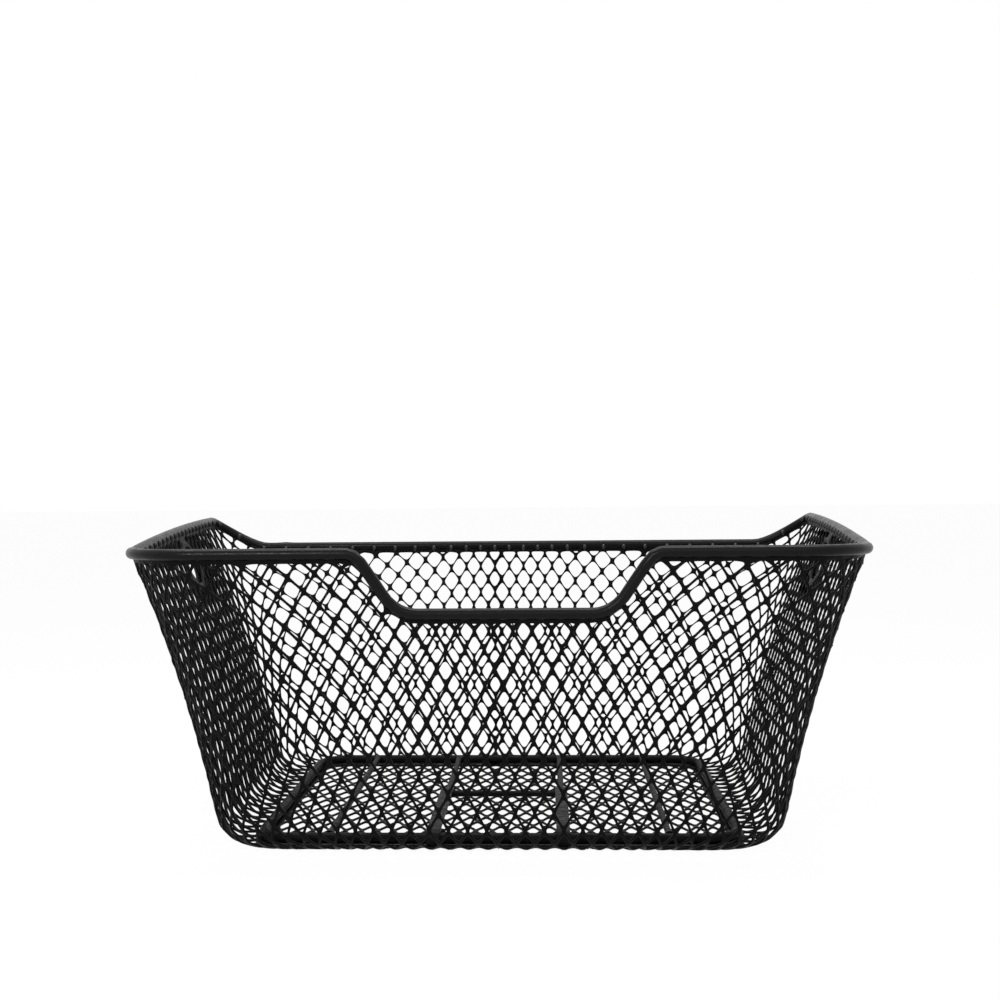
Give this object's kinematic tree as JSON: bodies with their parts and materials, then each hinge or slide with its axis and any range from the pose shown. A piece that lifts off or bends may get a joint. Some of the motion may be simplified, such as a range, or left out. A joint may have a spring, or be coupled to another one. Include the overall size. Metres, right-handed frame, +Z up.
{
  "type": "bicycle basket",
  "caption": "Flared black wire-mesh bicycle basket with a rod rim dipped at the near side for a grip, raised far corners, and a rod-framed mesh floor that sits on a rear carrier.",
  "frame": {"origin": "middle of the floor's underside, on the surface the basket stands on", "axes": "+X along the long sides, +Y from the dipped near side to the far side, +Z up"},
  "size_m": [0.4731, 0.3046, 0.1913],
  "materials": {
    "dipped_black": "satin",
    "stamped_black": "satin"
  },
  "bodies": {
    "root": {"rim_rod": "dipped_black", "floor_ring": "dipped_black", "wall_mesh_near": "dipped_black", "wall_mesh_near_right": "dipped_black", "wall_mesh_right": "dipped_black", "wall_mesh_far_right": "dipped_black", "wall_mesh_far": "dipped_black", "wall_mesh_far_left": "dipped_black", "wall_mesh_left": "dipped_black", "wall_mesh_near_left": "dipped_black", "floor_mesh": "dipped_black", "floor_wire_outer_left": "dipped_black", "floor_wire_inner_left": "dipped_black", "floor_wire_inner_right": "dipped_black", "floor_wire_outer_right": "dipped_black", "bracket_cross_bar": "dipped_black", "bracket_strap_left": "stamped_black", "bracket_strap_right": "stamped_black", "strap_plate_left": "stamped_black", "strap_plate_right": "stamped_black"}
  },
  "joints": []
}
